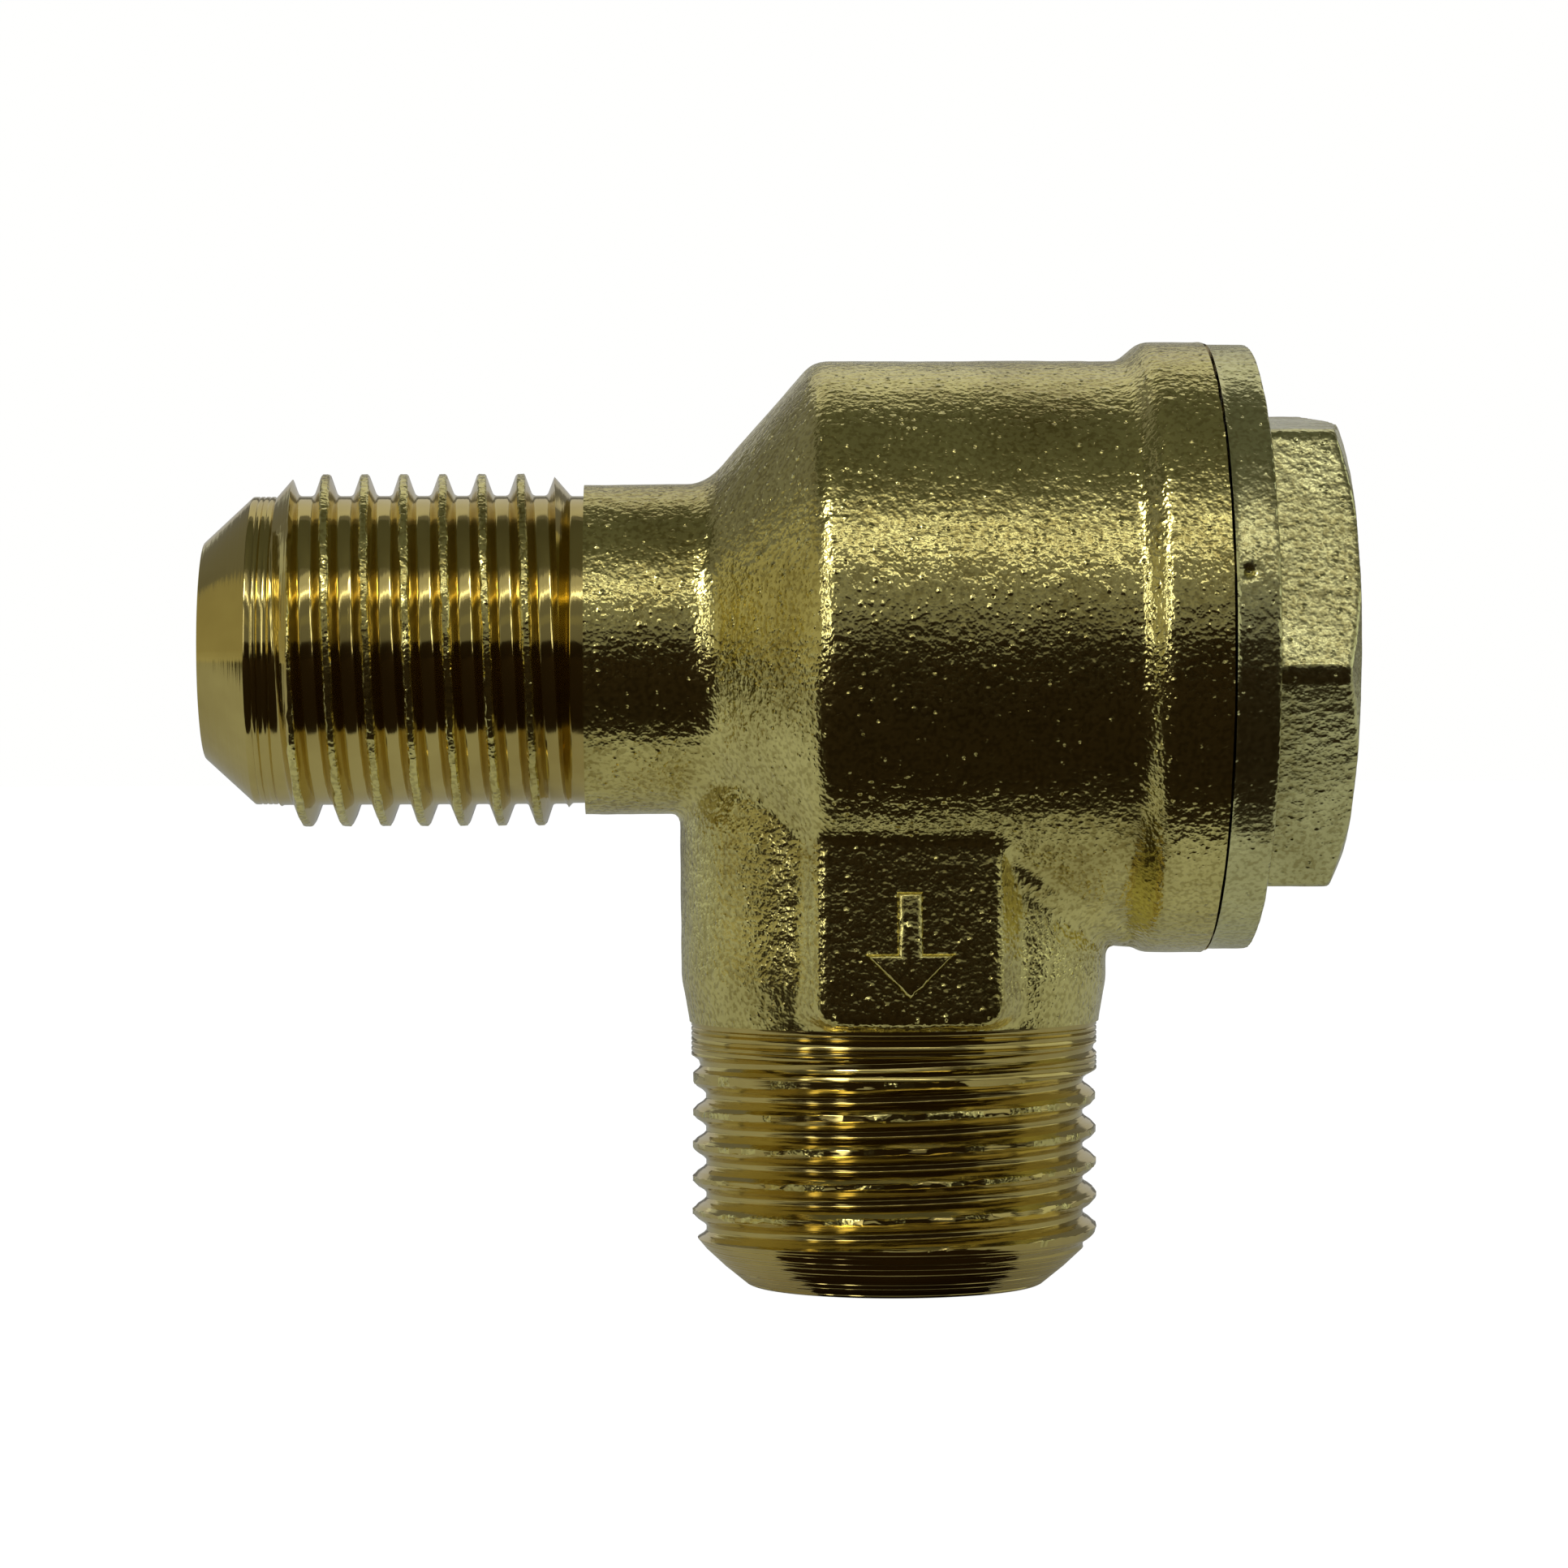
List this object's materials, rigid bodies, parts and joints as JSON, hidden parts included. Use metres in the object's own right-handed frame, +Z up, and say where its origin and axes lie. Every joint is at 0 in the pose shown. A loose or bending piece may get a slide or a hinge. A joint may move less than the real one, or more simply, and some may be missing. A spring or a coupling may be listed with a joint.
{
  "type": "bypass valve",
  "caption": "Brass elbow bypass valve: threaded inlet nipple, round barrel with a screwed hex cap over a sprung poppet, and a threaded outlet at a right angle.",
  "frame": {"origin": "middle of the bounding box's floor, on the plane of the outlet's end face; the outlet's axis stands at x = 4.975 mm and the barrel's axis lies at z = 25.67 mm", "axes": "+X along the barrel from the inlet nipple to the hex cap, +Z up along the outlet's axis, away from the outlet's end, +Y to the back"},
  "size_m": [0.0454, 0.0248, 0.038],
  "materials": {
    "forged_brass": "shot-blasted forging, bright and slightly rough, with machined threads",
    "cap_brass": "shot-blasted forging, bright and slightly rough",
    "seal_rubber": "matt moulded rubber",
    "turned_brass": "fine turned",
    "facing_rubber": "matt moulded rubber",
    "spring_steel": "drawn wire"
  },
  "bodies": {
    "valve": {"valve_body": "forged_brass", "hex_cap": "cap_brass", "cap_seal": "seal_rubber", "return_spring": "spring_steel"},
    "poppet": {"poppet": "turned_brass", "seat_disc": "facing_rubber"}
  },
  "joints": [
    {"name": "poppet_slide", "type": "slide", "parent": "valve", "child": "poppet", "axis": [1, 0, 0], "range_m": [0, 0.0034], "stiffness_N_per_m": 200, "deforming": ["return_spring"]}
  ]
}
